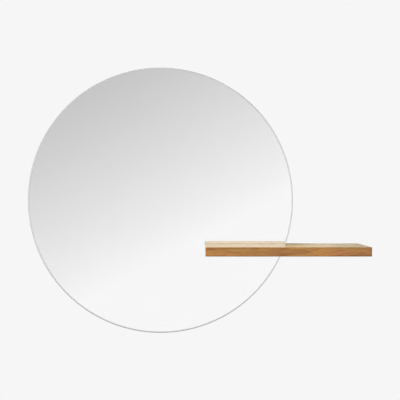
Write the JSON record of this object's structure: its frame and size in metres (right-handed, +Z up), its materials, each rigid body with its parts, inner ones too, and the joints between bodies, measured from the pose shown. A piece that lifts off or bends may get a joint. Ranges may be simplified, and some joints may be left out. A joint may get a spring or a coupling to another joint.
{
  "type": "wall mirror with shelf",
  "caption": "Frameless round wall mirror with a notched solid oak shelf that crosses its lower right edge, on a hooked hanging rail.",
  "frame": {"origin": "on the wall plane, in the middle of the wall rail's row of screw holes", "axes": "+X to the right as seen from the room, along the shelf; +Y into the wall; +Z up"},
  "size_m": [0.8779, 0.15, 0.7],
  "materials": {
    "clear_glass": "clear float glass with a polished half-round rim",
    "silvering": "silvered, reflecting",
    "safety_film": "matte woven splinter film",
    "foam_tape": "closed-cell foam tape",
    "black_panel": "fibreboard with matte black lacquer",
    "aluminium": "extruded, satin anodised",
    "zinc_steel": "zinc plated",
    "bumper_rubber": "matte soft rubber",
    "oak": "solid oak, oiled, silky matte",
    "brass": "turned",
    "nylon": "natural nylon",
    "soft_vinyl": "soft clear vinyl"
  },
  "bodies": {
    "root": {"mirror_glass": "clear_glass", "silver_layer": "silvering", "safety_film": "safety_film", "bonding_tapes": "foam_tape", "backing_panel": "black_panel", "panel_rail": "aluminium", "panel_rail_screws": "zinc_steel", "wall_rail": "aluminium", "wall_bumpers": "bumper_rubber", "shelf_board": "oak", "threaded_inserts": "brass", "shelf_bolts": "zinc_steel", "spring_washers": "zinc_steel", "flat_washers": "zinc_steel", "glass_sleeves": "nylon", "glass_pads": "soft_vinyl", "hanger_plate": "zinc_steel", "hanger_screws": "zinc_steel"}
  },
  "joints": []
}
